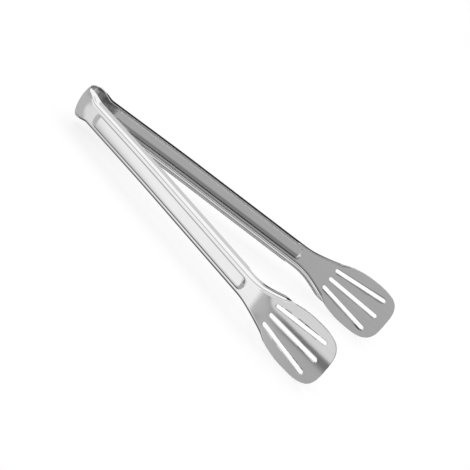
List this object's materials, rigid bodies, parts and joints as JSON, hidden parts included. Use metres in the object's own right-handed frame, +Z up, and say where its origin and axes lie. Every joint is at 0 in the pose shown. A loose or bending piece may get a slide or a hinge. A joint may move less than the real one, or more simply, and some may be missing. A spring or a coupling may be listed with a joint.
{
  "type": "kitchen tongs",
  "caption": "One-strip stainless steel kitchen tongs: a springy bow, channel arms with a pressed panel, and slotted paddles that pinch together.",
  "frame": {"origin": "under the middle of the tongs, at the level of the paddles' lowest edges, with the tongs open and lying on one long edge", "axes": "+X from the bow to the paddle tips, Y across the opening with the rear arm at +Y, +Z up across the width of the strip"},
  "size_m": [0.2977, 0.1282, 0.0476],
  "materials": {
    "bow_steel": "polished stainless sheet",
    "front_arm_steel": "polished stainless sheet",
    "rear_arm_steel": "polished stainless sheet"
  },
  "bodies": {
    "spring_bow": {"spring_bow": "bow_steel"},
    "front_arm": {"front_arm": "front_arm_steel"},
    "rear_arm": {"rear_arm": "rear_arm_steel"}
  },
  "joints": [
    {"name": "front_arm_flex", "type": "hinge", "parent": "spring_bow", "child": "front_arm", "pos_m": [-0.14477, -0.00598, 0.0238], "axis": [0, 0, 1], "range_deg": [0, 12.1], "stiffness_Nm_per_rad": 6},
    {"name": "rear_arm_flex", "type": "hinge", "parent": "spring_bow", "child": "rear_arm", "pos_m": [-0.14477, 0.00598, 0.0238], "axis": [0, 0, -1], "range_deg": [0, 12.1], "stiffness_Nm_per_rad": 6}
  ],
  "couplings": [
    {"joint": "rear_arm_flex", "follows": "front_arm_flex", "ratio": 1}
  ]
}
